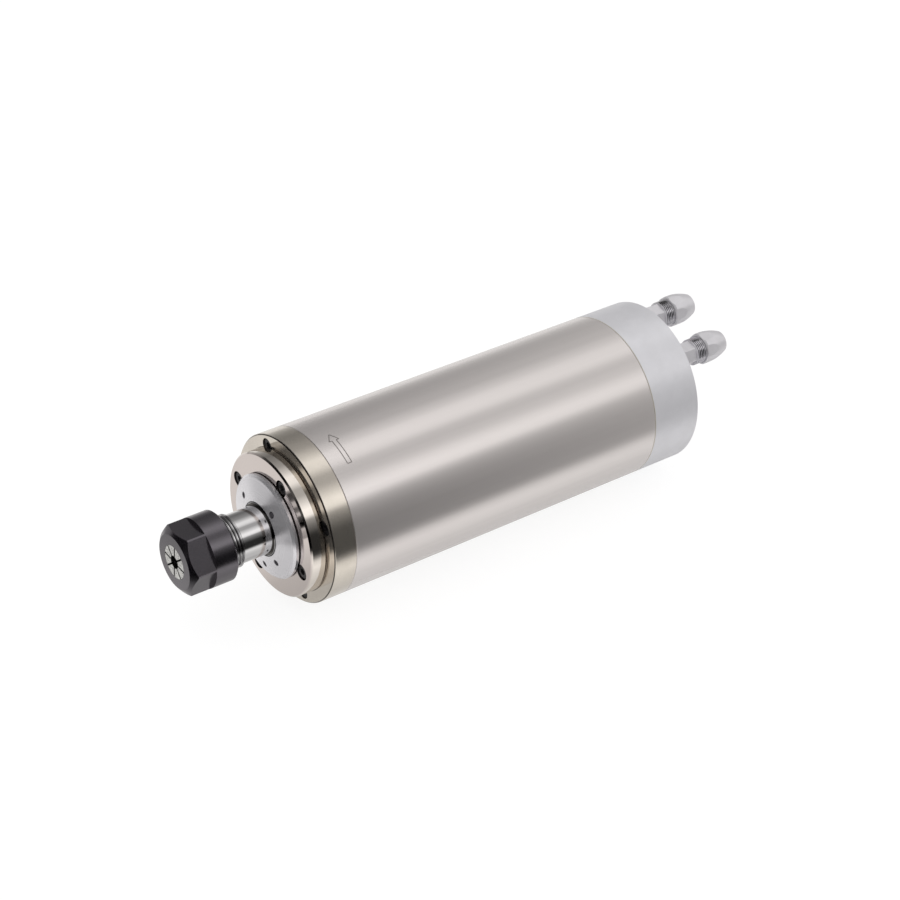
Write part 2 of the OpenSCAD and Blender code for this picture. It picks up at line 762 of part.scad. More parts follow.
module rear_balls_set() {
    color([0.80, 0.81, 0.83])
    for (x = rear_stations) balls(x, rear_id, rear_od, rear_w, rear_ball_d, rear_balls);
}

module rear_cages() {
    color([0.62, 0.45, 0.25])
    for (x = rear_stations) cage(x, rear_id, rear_od, rear_w, rear_ball_d, rear_balls);
}

// Pair of disc springs, dished against each other, that load the rear bearings
module preload_springs() {
    x0 = rear_b_x0 - preload_len;
    rise = preload_len / 2 - preload_t;
    r_out = rear_od / 2 - 2 * fit_gap;
    r_in = (rear_id + rear_od) / 4 + 0.3 * rear_ball_d + 0.2;
    mid = rear_b_x0 - preload_len / 2;
    color([0.55, 0.55, 0.58]) {
        turned([[r_in, x0], [r_out, x0 + rise], [r_out, mid], [r_in, x0 + preload_t]]);
        turned([[r_in, rear_b_x0], [r_out, rear_b_x0 - rise], [r_out, mid], [r_in, rear_b_x0 - preload_t]]);
    }
}

// Rear housing: disc in the sleeve's end with the hub that holds the rear bearings
module rear_housing() {
    bore_r = rear_od / 2 + fit_gap;
    stop_x = rear_b_x0 - preload_len;
    color([0.74, 0.75, 0.77])
    difference() {
        turned([
            [bore_r, shaft_x1], [housing_hub_r, shaft_x1], [housing_hub_r, housing_x1], [located_r, housing_x1],
            [located_r, jacket_x1], [housing_hub_r, jacket_x1], [housing_hub_r, housing_x0],
            [bore_r - 3, housing_x0], [bore_r - 3, stop_x], [bore_r, stop_x]
        ]);
        for (a = port_angles) out_to(duct_r, a) bar(jacket_x1 - 1, housing_x1 - jacket_x1 + 2, duct_d / 2);
        round_axis(screw_count, cap_screw_angle) translate([housing_x1 - screw_grip - 1, cap_screw_r, 0])
            bar(0, screw_grip + 2, screw_d / 2);
        out_to(wire_r, connector_angle) bar(jacket_x1 - 1, housing_x1 - jacket_x1 + 2, wire_hole_r);
    }
}

// Gasket that seals the water pockets of the rear cap
module cap_gasket() {
    color([0.35, 0.42, 0.38])
    difference() {
        tube(housing_x1, gasket_t, located_r, cavity_r);
        for (a = port_angles) out_to(duct_r, a) bar(housing_x1 - 1, gasket_t + 2, duct_d / 2);
        round_axis(screw_count, cap_screw_angle) translate([housing_x1, cap_screw_r, 0])
            bar(-1, gasket_t + 2, screw_d / 2 + 0.15);
        out_to(wire_r, connector_angle) bar(housing_x1 - 1, gasket_t + 2, wire_hole_r + 0.5);
    }
}

// Rear cap: closes the sleeve, leads the water to the ports and carries the connector
module rear_cap() {
    rim = 2 * seam_chamfer;
    color([0.78, 0.80, 0.83])
    difference() {
        turned([
            [sleeve_ir, sleeve_x1], [body_r - seam_chamfer, sleeve_x1], [body_r, sleeve_x1 + seam_chamfer],
            [body_r, rear_x - rim], [body_r - rim, rear_x], [0, rear_x], [0, cavity_x1], [cavity_r, cavity_x1],
            [cavity_r, cap_seat_x], [sleeve_ir, cap_seat_x]
        ]);
        for (k = [0, 1]) rotate([port_angles[k], 0, 0]) {
            pocket_r0 = port_radii[k] - pocket_w / 2;
            translate([0, port_radii[k], 0]) bar(cap_seat_x + 1, rear_x - cap_seat_x, water_bore / 2);
            translate([0, port_radii[k], 0]) bar(rear_x - port_len, port_len + 1, port_d / 2 + fit_gap);
            translate([cap_seat_x - 1, pocket_r0, -pocket_w / 2])
                cube([pocket_depth + 1, duct_r + duct_d / 2 - pocket_r0, pocket_w]);
        }
        round_axis(screw_count, cap_screw_angle) translate([rear_x - head_seat, cap_screw_r, 0])
            rotate([0, 0, 180]) screw_cut(flange_bore_d, head_seat + 1, cap_len);
        out_to(wire_r, connector_angle) bar(cap_seat_x - 1, cavity_x1 - cap_seat_x - 2, wire_hole_r + 0.5);
        rotate([connector_angle, 0, 0]) translate([cap_seat_x - 1, cavity_r - 3, -wire_hole_r])
            cube([cavity_x1 - cap_seat_x - 1, wire_r - cavity_r + 3, wire_hole_d]);
        out_to(connector_r, connector_angle) bar(cavity_x1 - 1, end_wall + 2, shell_d / 2 + fit_gap);
    }
}

// Screws that hold the rear cap to the housing
module cap_screws() {
    color([0.16, 0.16, 0.17])
    round_axis(screw_count, cap_screw_angle) translate([rear_x - head_seat, cap_screw_r, 0])
        rotate([0, 0, 180]) socket_screw(rear_x - head_seat - housing_x1 + screw_grip);
}

// Washers under the water fittings
module fitting_washers() {
    color([0.70, 0.42, 0.25])
    for (k = [0, 1]) out_to(port_radii[k], port_angles[k])
        tube(rear_x, washer_t, fitting_af / 2 + 0.3, port_d / 2 + fit_gap);
}

// Water fitting, from its thread in the cap to the socket for the hose, with x = 0 at the rear face
module fitting_body() {
    root = 0.6;
    thread_r = hose_thread_d / 2;
    hex_corner_r = fitting_af / 2 / cos(30) - 0.1;
    difference() {
        union() {
            turned([[0, -port_len], [port_d / 2 - 0.5, -port_len], [port_d / 2, 0.5 - port_len],
                [port_d / 2, fitting_hex_x0], [0, fitting_hex_x0]]);
            intersection() {
                along(fitting_hex_x0) cylinder(d = fitting_af / cos(30), h = fitting_hex_len, $fn = 6);
                turned([[0, fitting_hex_x0], [fitting_af / 2 - 0.2, fitting_hex_x0], [hex_corner_r, fitting_hex_x0 + 0.6],
                    [hex_corner_r, hose_thread_x0 + 1], [0, hose_thread_x0 + 1]]);
            }
            turned(concat([[0, hose_thread_x0], [thread_r - root, hose_thread_x0]],
                ridges(hose_thread_x0, hose_thread_len, thread_r, hose_pitch, root),
                [[thread_r - root, fitting_end], [0, fitting_end]]));
        }
        bar(-port_len - 1, port_len + fitting_end + 2, water_bore / 2);
        bar(fitting_end - hose_socket, hose_socket + 1, socket_r);
        turned([[0, fitting_end + eps], [socket_r + ferrule_wall, fitting_end + eps],
            [socket_r - eps, fitting_end - ferrule_wall], [0, fitting_end - ferrule_wall]]);
    }
}

// Ferrule that the nut squeezes on to the hose
module ferrule() {
    flat_w = ferrule_wall * 0.35;
    slope = ferrule_wall - flat_w;
    turned([
        [ferrule_ir, ferrule_x0 + flat_w], [ferrule_ir + flat_w, ferrule_x0 + flat_w],
        [ferrule_or, ferrule_x0 + flat_w + slope], [ferrule_or, ferrule_x1 - slope],
        [ferrule_ir + flat_w, ferrule_x1], [ferrule_ir, ferrule_x1]
    ]);
}

// Hexagonal nut whose end is rounded over the hose, and which closes on the ferrule
module hose_nut() {
    corner_r = cap_nut_d / 2;
    dome_drop = corner_r - cap_nut_end_r;
    dome_r = (pow(cap_nut_dome_len, 2) + pow(dome_drop, 2)) / (2 * dome_drop);
    dome_x0 = cap_nut_len - cap_nut_dome_len;
    cone_x = ferrule_x1 - ferrule_wall * 0.65 + seat_gap;
    cone_r = ferrule_or + 4 * fit_gap;
    mouth_r = hose_r + 4 * fit_gap;
    inner_r = hose_thread_d / 2 + fit_gap;
    difference() {
        intersection() {
            along(cap_nut_x0) cylinder(d = cap_nut_af / cos(30), h = cap_nut_len, $fn = 6);
            along(cap_nut_x0) rotate_extrude() union() {
                polygon([[0, 0], [cap_nut_af / 2 - 0.2, 0], [corner_r, 0.8], [corner_r, dome_x0], [0, dome_x0]]);
                intersection() {
                    translate([corner_r - dome_r, dome_x0]) circle(r = dome_r);
                    translate([0, dome_x0]) square([corner_r, cap_nut_dome_len]);
                }
            }
        }
        turned([
            [0, cap_nut_x0 - 1], [inner_r, cap_nut_x0 - 1], [inner_r, fitting_end + 0.6],
            [cone_r, fitting_end + 0.6], [cone_r, cone_x], [mouth_r, cone_x + cone_r - mouth_r],
            [mouth_r, cap_nut_x1 + 1], [0, cap_nut_x1 + 1]
        ]);
    }
}

// Stands a piece of a fitting on the rear face, at one of the two ports
module at_port(k) {
    translate([rear_x, 0, 0]) out_to(port_radii[k], port_angles[k]) children();
}

module inlet_fitting() {
    color([0.80, 0.80, 0.80]) at_port(0) fitting_body();
}

module outlet_fitting() {
    color([0.80, 0.80, 0.80]) at_port(1) fitting_body();
}

module inlet_ferrule() {
    color([0.80, 0.66, 0.36]) at_port(0) ferrule();
}

module outlet_ferrule() {
    color([0.80, 0.66, 0.36]) at_port(1) ferrule();
}

module inlet_nut() {
    color([0.84, 0.84, 0.84]) at_port(0) hose_nut();
}

module outlet_nut() {
    color([0.84, 0.84, 0.84]) at_port(1) hose_nut();
}

// Threaded shell of the connector, open towards +X for the plug
module connector_shell() {
    color([0.75, 0.76, 0.78])
    out_to(connector_r, connector_angle) turned([
        [shell_ir, shell_x0], [shell_d / 2, shell_x0], [shell_d / 2, rear_x], [collar_d / 2, rear_x],
        [collar_d / 2, rear_x + collar_len - 0.4], [collar_d / 2 - 0.4, rear_x + collar_len],
        [shell_d / 2, rear_x + collar_len], [shell_d / 2, shell_x1 - 0.5], [shell_d / 2 - 0.5, shell_x1],
        [shell_ir, shell_x1]
    ]);
}

// Insulating body that holds the contact pins
module connector_insert() {
    color([0.14, 0.14, 0.15])
    out_to(connector_r, connector_angle) difference() {
        bar(shell_x0, insert_x1 - shell_x0, shell_ir - fit_gap);
        round_axis(contact_pins) translate([0, pin_pcd / 2, 0])
            bar(shell_x0 - 1, insert_x1 - shell_x0 + 2, pin_d / 2 + fit_gap);
    }
}

// Contact pins with their solder ends inside the cap
module connector_pins() {
    color([0.83, 0.70, 0.36])
    out_to(connector_r, connector_angle) round_axis(contact_pins) translate([0, pin_pcd / 2, 0])
        turned([
            [0, pin_x0], [pin_d / 2, pin_x0], [pin_d / 2, insert_x1 + pin_len - pin_d / 2],
            [pin_d / 4, insert_x1 + pin_len], [0, insert_x1 + pin_len]
        ]);
}

// Nut that holds the connector from inside the cap
module connector_nut() {
    color([0.70, 0.71, 0.73])
    out_to(connector_r, connector_angle)
        tube(cavity_x1 - shell_nut_len, shell_nut_len, shell_nut_d / 2, shell_d / 2 + fit_gap);
}

// Point at a station, from its place in the plane across the axis
function station(x, r, angle) = [x, r * cos(angle), r * sin(angle)];

// Lead wires from the windings, through the housing, to three of the contact pins
module lead_wires() {
    spread = wire_hole_r - wire_d / 2 - 0.4;
    bend_x = pin_x0 - wire_d;
    color([0.75, 0.20, 0.15])
    for (k = [0 : 2]) {
        side = connector_angle + 90 * (k - 1);
        across = [0, cos(side), sin(side)];
        start = station(stator_x1 + end_turn_len, wire_r, connector_angle) + spread * across;
        knee = [wire_knee_x, start[1], start[2]];
        bend = station(bend_x, connector_r, connector_angle) + pin_pcd / 2 * across;
        rod(start, knee, wire_d / 2);
        rod(knee, bend, wire_d / 2);
        rod(bend, [pin_x0 - fit_gap, bend[1], bend[2]], wire_d / 2);
        for (p = [knee, bend]) translate(p) sphere(r = 1.15 * wire_d / 2);
    }
}

// Radius of the collet's long taper at a distance behind its front face
function taper_r(z) = collet_d / 2 - (z - head_len - groove_len) * tan(taper_angle);

// Shaft: threaded nose with the taper socket, bearing seats and rotor seat
module spindle_shaft() {
    thread_r = thread_d / 2;
    root_r = thread_r - 0.6 * thread_pitch;
    seat_r = front_id / 2;
    mouth_r = taper_r(collet_proud) + seat_gap;
    floor_r = taper_r(collet_proud + socket_len) + seat_gap;
    socket_x1 = thread_x0 + socket_len;
    color([0.74, 0.75, 0.77])
    difference() {
        turned(concat(
            [[0, thread_x0], [root_r, thread_x0]],
            ridges(thread_x0, thread_len, thread_r, thread_pitch, thread_r - root_r),
            [
                [neck_d / 2, thread_x1], [neck_d / 2, disc_top_x - 0.4], [seat_r - 0.4, disc_top_x - 0.4],
                [seat_r, disc_top_x], [seat_r, front_x1], [shoulder_d / 2, front_x1],
                [shoulder_d / 2, front_x1 + shoulder_len], [rotor_seat_r, front_x1 + shoulder_len],
                [rotor_seat_r, rotor_x1 + end_ring_len], [rear_shoulder_d / 2, rotor_x1 + end_ring_len + 3],
                [rear_shoulder_d / 2, rear_b_x0], [rear_id / 2, rear_b_x0], [rear_id / 2, shaft_x1 - 0.6],
                [rear_id / 2 - 0.6, shaft_x1], [0, shaft_x1]
            ]
        ));
        turned([
            [0, thread_x0 - 1], [mouth_r + tan(taper_angle), thread_x0 - 1], [floor_r, socket_x1],
            [relief_d / 2, socket_x1], [relief_d / 2, socket_x1 + relief_len],
            [0, socket_x1 + relief_len + relief_d / 2 * tan(30)]
        ]);
    }
}

// Height of the dust disc's cone at a radius
function cone_x(r) = disc_x0 - disc_rise * (disc_d / 2 - disc_chamfer - r) / (disc_d / 2 - disc_chamfer - front_id / 2);

// Dust disc: shallow cone that throws the coolant off, with the hub that clamps the front bearings
module dust_disc() {
    bore_r = front_id / 2 + fit_gap;
    ring_in = labyrinth_r - labyrinth_wall / 2;
    ring_out = labyrinth_r + labyrinth_wall / 2;
    ring_x1 = cover_x0 + labyrinth_depth;
    color([0.80, 0.80, 0.82])
    difference() {
        turned([
            [bore_r, cone_x(bore_r) + 0.4], [bore_r + 0.4, cone_x(bore_r + 0.4)],
            [disc_d / 2 - disc_chamfer, disc_x0], [disc_d / 2, disc_x0 + disc_chamfer], [disc_d / 2, disc_x1],
            [ring_out, disc_x1], [ring_out, ring_x1], [ring_in, ring_x1], [ring_in, disc_x1],
            [hub_r, disc_x1], [hub_r, press_x], [bore_r, press_x]
        ]);
        for (h = balance_holes) out_to(h[0], h[1]) bar(cone_x(h[0]) - 1, balance_depth + 1, balance_d / 2);
    }
}

// Cross-section of the rotor's laminations
module rotor_section() {
    difference() {
        circle(r = rotor_r);
        circle(r = rotor_seat_r + fit_gap);
        for (k = [0 : rotor_bars - 1]) rotate(k * 360 / rotor_bars)
            translate([rotor_r - bar_depth, -bar_w / 2]) square([bar_depth + 1, bar_w]);
    }
}

// Laminated rotor core
module rotor_core() {
    color([0.45, 0.46, 0.48])
    along(rotor_x0) linear_extrude(rotor_x1 - rotor_x0) rotor_section();
}

// Cage of the rotor: bars joined by an end ring at each end
module rotor_cage() {
    bar_r0 = rotor_r - bar_depth + fit_gap;
    bar_t = bar_w - 2 * fit_gap;
    rotor_len = rotor_x1 - rotor_x0;
    color([0.78, 0.79, 0.81]) {
        for (k = [0 : rotor_bars - 1]) rotate([k * 360 / rotor_bars, 0, 0])
            translate([rotor_x0 - 1, bar_r0, -bar_t / 2]) cube([rotor_len + 2, bar_depth - 4 * fit_gap, bar_t]);
        for (x = [rotor_x0 - end_ring_len, rotor_x1])
            tube(x, end_ring_len, rotor_r - 2 * fit_gap, rotor_seat_r + fit_gap);
    }
}

// Slotted nut that holds the rear bearings on the shaft
module rear_lock_nut() {
    notch_w = 3;
    notch_depth = 1.5;
    color([0.30, 0.30, 0.32])
    difference() {
        tube(rear_b_x1, lock_len, lock_d / 2, rear_id / 2 + fit_gap);
        round_axis(4) translate([rear_b_x1 - 1, lock_d / 2 - notch_depth, -notch_w / 2])
            cube([lock_len + 2, notch_depth + 1, notch_w]);
    }
}

// Collet: double-tapered sleeve that slots from both ends make springy
module collet() {
    x1 = collet_x0 + collet_len;
    groove_x = collet_x0 + head_len;
    taper_x = groove_x + groove_len;
    head_r = collet_face_d / 2 + (head_len - 0.7) * tan(head_angle);
    bore_r = collet_bore / 2;
    color([0.70, 0.70, 0.69])
    difference() {
        turned([
            [bore_r, collet_x0], [collet_face_d / 2, collet_x0], [head_r, groove_x - 0.7], [head_r, groove_x],
            [groove_d / 2, groove_x], [groove_d / 2, taper_x], [taper_r(head_len + groove_len), taper_x],
            [taper_r(collet_len), x1], [bore_r, x1]
        ]);
        round_axis(collet_slots, slot_angle) translate([collet_x0 - 1, 0, -slot_w / 2])
            cube([collet_len + 1 - slot_end, collet_d, slot_w]);
        round_axis(collet_slots, slot_angle + 180 / collet_slots)
            translate([taper_x + slot_end / 2, 0, -slot_w / 2]) cube([collet_len, collet_d, slot_w]);
    }
}

// Collet nut: hexagon in front, round collar behind, with the ring that pulls the collet out
module collet_nut() {
    gap = seat_gap;
    head_z = head_len - 0.7;
    ring_z = head_len + (groove_len - pull_ring_len) / 2;
    cone_r = collet_face_d / 2 + gap;
    room_r = cone_r + head_z * tan(head_angle);
    cavity_r = collet_d / 2 + 0.5;
    thread_z = collet_proud - 0.5;
    collar_r = nut_d / 2;
    color([0.17, 0.17, 0.18])
    difference() {
        intersection() {
            along(collet_x0) rotate_extrude() polygon([
                [0, 0], [nut_face_d / 2, 0], [collar_r, nut_cone_len], [collar_r, nut_len - 0.8],
                [collar_r - 0.8, nut_len], [0, nut_len]
            ]);
            union() {
                along(collet_x0) rotate([0, 0, nut_corner_angle])
                    cylinder(d = nut_af / cos(30), h = flat_len + 1, $fn = 6);
                bar(collet_x0 + flat_len, nut_len - flat_len + 1, collar_r + 1);
            }
        }
        along(collet_x0) rotate_extrude() polygon([
            [0, -1], [cone_r - tan(head_angle), -1], [room_r, head_z], [room_r, ring_z], [pull_ring_d / 2, ring_z],
            [pull_ring_d / 2, ring_z + pull_ring_len], [cavity_r, ring_z + pull_ring_len + 0.3],
            [cavity_r, thread_z], [thread_d / 2 + fit_gap, thread_z], [thread_d / 2 + fit_gap, nut_len - 0.8],
            [thread_d / 2 + 0.8, nut_len + eps], [thread_d / 2 + 0.8, nut_len + 1], [0, nut_len + 1]
        ]);
    }
}

front_flange();
flange_screws();
front_cover();
cover_screws();
body_sleeve();
cooling_jacket();
jacket_o_rings();
stator_core();
stator_windings();
front_outer_rings();
front_outer_spacer();
rear_housing();
rear_outer_rings();
preload_springs();
cap_gasket();
rear_cap();
cap_screws();
fitting_washers();
inlet_fitting();
outlet_fitting();
connector_shell();
connector_insert();
connector_pins();
connector_nut();
lead_wires();
spindle_shaft();
dust_disc();
front_inner_rings();
front_inner_spacer();
rotor_core();
rotor_cage();
rear_inner_rings();
rear_lock_nut();
front_balls_set();
front_cages();
rear_balls_set();
rear_cages();
collet();
collet_nut();
inlet_ferrule();
inlet_nut();
outlet_ferrule();
outlet_nut();
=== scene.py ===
"""Looks of the motor spindle: materials, etched arrow, light, floor and camera round the CAD frame."""

import json
import math

import bmesh
import bpy
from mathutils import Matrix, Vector


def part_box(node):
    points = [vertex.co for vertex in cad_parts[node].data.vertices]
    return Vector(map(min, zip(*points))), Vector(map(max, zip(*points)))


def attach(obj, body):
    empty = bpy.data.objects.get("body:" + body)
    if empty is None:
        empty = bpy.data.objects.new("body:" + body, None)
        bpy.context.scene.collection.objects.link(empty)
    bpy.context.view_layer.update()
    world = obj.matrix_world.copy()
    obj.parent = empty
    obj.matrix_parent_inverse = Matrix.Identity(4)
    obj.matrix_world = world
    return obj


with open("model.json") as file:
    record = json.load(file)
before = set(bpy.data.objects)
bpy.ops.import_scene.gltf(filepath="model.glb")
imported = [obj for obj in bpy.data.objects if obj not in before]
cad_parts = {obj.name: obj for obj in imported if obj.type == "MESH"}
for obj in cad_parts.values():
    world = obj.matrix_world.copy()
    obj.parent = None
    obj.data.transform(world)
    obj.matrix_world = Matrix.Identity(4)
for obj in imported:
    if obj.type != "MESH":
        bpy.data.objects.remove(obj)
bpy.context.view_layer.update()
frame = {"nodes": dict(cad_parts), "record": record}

MM = 0.001
MICRON = 0.000001
BODY_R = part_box("body_sleeve")[1].y
SLEEVE_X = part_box("body_sleeve")[1].x

# Camera fitted to the outlines of the photograph
CAMERA_AT = Vector((-0.52285, -0.70572, 0.54824))
CAMERA_LOOKS = Vector((0.50134, 0.68461, -0.52911))
CAMERA_LENS = 88.64
CAMERA_SENSOR = 36.0

# Marks of drawing along the axis: noise scales along and across it
FINE_STREAKS = (3, 1800, 1800)
WIDE_STREAKS = (2, 260, 260)
# Noise scales of the rings that a lathe leaves, and of the soft clouds in each kind of surface
RINGS = 5200
TURNED_CLOUDS = 90
GRAIN_CLOUDS = 140
OXIDE_CLOUDS = 160
OXIDE_GRAIN = 1800
PITS = 1300
PIT_TONES = [(0.36, 0.12), (0.43, 0.80), (0.60, 1.12)]
SHEETS = 300
SHEETS_BENT = 0.4
SHEETS_WEAR = 500

# Range in which a noise texture mostly stays
NOISE_LOW, NOISE_HIGH = 0.3, 0.7
# Sockets of a Mix node: factor, its two numbers, its two colours, and the mixed colour
MIX_SHARE, MIX_A, MIX_B, MIX_COLOR_A, MIX_COLOR_B = 0, 2, 3, 6, 7
MIX_COLOR_OUT = 2

# Half widths in mm of the lines in seams, corners and edges, and the share of it where a line is full
LINE_FULL = 0.5
SEAM = 0.3
CAP_SEAM = 0.45
CORNER = 0.2
COVER_LINE = 0.35
RIM_LINE = 0.25
NECK_LINE = 0.25
DISC_EDGE = 0.35
DRILLING_LINE = 0.3
# How far in mm the polished faces and the lines beside an edge lie inside it
FLANGE_FACE_IN = 0.2
COVER_FACE_IN = 0.35
RIM_IN = 0.4
RIM_DEEP = 1
NECK_LINE_AHEAD = 0.4
# Threads, bores and drillings that get painted shade, and the drillings' painted glints, in mm, with
# turns in degrees from Y
NECK_THREAD_X = -124.9
THREAD_ROOT_R = 12.0
THREAD_ROOT_SOFT = 0.35
DISC_BORE_R = 12.75
BALANCE_DRILLINGS = [(17.5, 35), (15.6, 128), (16.6, 228), (19, 269)]
DRILLING_RIM_R = 1.35
DRILLING_END_R = 0.85
DRILLING_END_SOFT = 0.2
FITTING_ROOT_R = 6.2
FITTING_ROOT_SOFT = 0.25
FITTING_THREAD_X = 127.6
FITTING_THREAD_HALF = 3.3
COLLET_BORE_R = 3.15
COLLET_SLOTS = [7.5, 52.5, 97.5, 142.5]
COLLET_SLOT_HALF = 0.45

# Their colours
# Painted shade for the corner round the cover and where the neck enters the disc, and a painted dark
# reflection on the flange's rim chamfer
PAINTED_SHADE_AND_REFLECTION = (0.05, 0.045, 0.04)
SLEEVE_FRONT_SEAM = (0.64, 0.60, 0.58)
SLEEVE_REAR_SEAM = (0.40, 0.35, 0.28)
FLANGE_SEAM = (0.58, 0.53, 0.47)
CAP_SEAM_COLOR = (0.66, 0.63, 0.56)
COVER_FACE = (0.64, 0.57, 0.55)
COVER_FACE_SHARE = 0.7
# Painted shade in the corner between the cover's side and the flange's face
COVER_CORNER_SHADE = (0.12, 0.09, 0.07)
# Painted shade in the neck's thread roots and round the disc's bore
NECK_ROOT_SHADE = (0.10, 0.10, 0.105)
DISC_BORE_SHADE = (0.06, 0.06, 0.07)
# Painted shade round each balance drilling, and a painted white glint at its end
DRILLING_RIM_SHADE = (0.10, 0.09, 0.11)
DRILLING_GLINT = (1.0, 1.0, 1.0)
# Painted shade in the fittings' thread roots and in the collet's bore and slots
FITTING_ROOT_SHADE = (0.03, 0.03, 0.04)
COLLET_HOLLOW_SHADE = (0.015, 0.015, 0.015)
# Metallic share of the fittings beside their bright threads, and the roughness of polished places
FITTING_METAL = 0.35
FITTING_THREAD_ROUGH = 0.12
FLANGE_FACE_ROUGH = 0.04

# Environment that the metal mirrors, by the direction round the spindle's axis: 0 is behind the object,
# 90 above, 180 in front of it, on the camera's side. Each stop is (degrees, brightness).
SKY_STOPS = [
    (-180, 0.03), (-120, 0.5), (-60, 0.85), (-20, 0.78), (0, 0.57), (14, 0.30), (28, 0.19),
    (42, 0.26), (60, 0.38), (74, 0.75), (84, 1.14), (96, 1.06), (107, 0.50), (118, 0.50),
    (130, 0.92), (140, 1.30), (149, 1.20), (155, 0.38), (164, 0.20), (176, 0.05), (180, 0.03),
]
# The same for directions towards the nose, which the flange's face mirrors
NOSE_STOPS = [
    (-180, 0.06), (-150, 0.25), (-110, 0.6), (0, 0.55), (14, 0.30), (26, 0.05), (72, 0.05),
    (84, 0.85), (104, 0.95), (114, 0.15), (132, 0.12), (139, 0.95), (148, 0.95), (157, 0.10),
    (180, 0.06),
]
# Share of a direction along X at which one gives way to the other
NOSE_FROM, NOSE_TO = -0.36, -0.46
# Share of the brightness that is left straight in front of the nose, where the room is dark
NOSE_DARK = 0.10
NOSE_DARK_FROM, NOSE_DARK_TO = -0.53, -0.62
SKY_TINT = (1, 0.985, 0.975)
# Even light for everything that isn't mirrored
AMBIENT = 0.80
AMBIENT_TINT = (1, 0.99, 0.985)

FLOOR_GAP = 0.0002
FLOOR_HALF = 4.0
# Floor as the camera sees it: its own glow, and the grey that takes the object's shadow
FLOOR_GLOW = 0.85
FLOOR_GREY = (0.25, 0.25, 0.25)
# Floor as the metal mirrors it: brightness at a place towards the camera and along the axis, in metres
FLOOR_TINT = (1, 0.985, 0.97)
FLOOR_Y = (-0.16, 0.08)
FLOOR_ACROSS = [
    (-0.125, 0.03), (-0.102, 0.07), (-0.088, 0.30), (-0.074, 0.88), (-0.060, 1.06), (-0.046, 0.86),
    (-0.030, 0.70), (-0.021, 0.72), (-0.010, 0.56), (0.010, 0.64), (0.030, 0.90), (0.060, 0.88),
]
FLOOR_X = (-0.30, -0.10)
FLOOR_ALONG = [(-0.22, 0.0), (-0.195, 0.10), (-0.180, 0.65), (-0.165, 1.0)]
# Strength of the darkness along the axis, which is full in front of the nose and less behind it
FLOOR_NOSE = [(-0.01, 1.0), (0.03, 0.45)]

# Etched arrow round the sleeve's front, which shows the direction of rotation, in mm and degrees
ARROW_X = -76.3
ARROW_TURN = (98.5, 123.5)
ARROW_HEAD_TURN = 6.0
ARROW_HALF = 1.1
ARROW_HEAD_HALF = 2.5
ARROW_LINE = 0.4
ARROW_PROUD = 0.015
ARROW_STEP = 1.5


class Nodes:
    """A node tree with short ways to add and join its nodes."""

    def __init__(self, tree):
        self.tree = tree

    def node(self, kind, **settings):
        made = self.tree.nodes.new(kind)
        for key, value in settings.items():
            setattr(made, key, value)
        return made

    def join(self, source, target):
        self.tree.links.new(source, target)

    def feed(self, value, target):
        """Gives an input a number or another node's output."""
        if isinstance(value, (int, float)):
            target.default_value = value
        else:
            self.join(value, target)

    def combine(self, operation, *values):
        """Result of a maths node on numbers or outputs."""
        made = self.node("ShaderNodeMath", operation=operation)
        for value, target in zip(values, made.inputs):
            self.feed(value, target)
        return made.outputs[0]

    def product(self, a, b):
        return self.combine("MULTIPLY", a, b)

    def less(self, a, b):
        return self.combine("SUBTRACT", a, b)

    def mix(self, share, a, b):
        """A number between two others."""
        made = self.node("ShaderNodeMix", data_type="FLOAT")
        for value, socket in ((share, MIX_SHARE), (a, MIX_A), (b, MIX_B)):
            self.feed(value, made.inputs[socket])
        return made.outputs[0]

    def spread(self, value, low, high, start=NOISE_LOW, end=NOISE_HIGH):
        """A value between start and end, taken to low and high."""
        made = self.node("ShaderNodeMapRange")
        made.inputs["From Min"].default_value = start
        made.inputs["From Max"].default_value = end
        made.inputs["To Min"].default_value = low
        made.inputs["To Max"].default_value = high
        self.join(value, made.inputs["Value"])
        return made.outputs[0]

    def ramp(self, value, stops):
        """Colour along a value, from (position, colour) stops."""
        made = self.node("ShaderNodeValToRGB")
        elements = made.color_ramp.elements
        while len(elements) < len(stops):
            elements.new(0.5)
        for element, (position, color) in zip(elements, stops):
            element.position = position
            element.color = (*color, 1)
        self.join(value, made.inputs["Fac"])
        return made.outputs["Color"]

    def levels(self, value, span, stops):
        """Brightness along a value, from (value, brightness) stops inside a span."""
        top = max(level for _, level in stops)
        greys = [((at - span[0]) / (span[1] - span[0]), (level / top,) * 3) for at, level in stops]
        return self.product(self.ramp(self.spread(value, 0, 1, *span), greys), top)

    def places(self, kind):
        """X, Y and Z of a kind of texture coordinates."""
        parts = self.node("ShaderNodeSeparateXYZ")
        self.join(self.node("ShaderNodeTexCoord").outputs[kind], parts.inputs[0])
        return parts.outputs

    def light(self, kind, color, strength):
        made = self.node(kind)
        made.inputs["Color"].default_value = (*color, 1)
        self.feed(strength, made.inputs["Strength"])
        return made.outputs[0]

    def finish(self, kind, seen, mirrored, other):
        """Output that differs for camera rays, mirrored rays and all other rays."""
        rays = self.node("ShaderNodeLightPath")
        source = other
        for ray, shader in (("Is Glossy Ray", mirrored), ("Is Camera Ray", seen)):
            mix = self.node("ShaderNodeMixShader")
            self.join(rays.outputs[ray], mix.inputs[0])
            self.join(source, mix.inputs[1])
            self.join(shader, mix.inputs[2])
            source = mix.outputs[0]
        self.join(source, self.node(kind).inputs["Surface"])


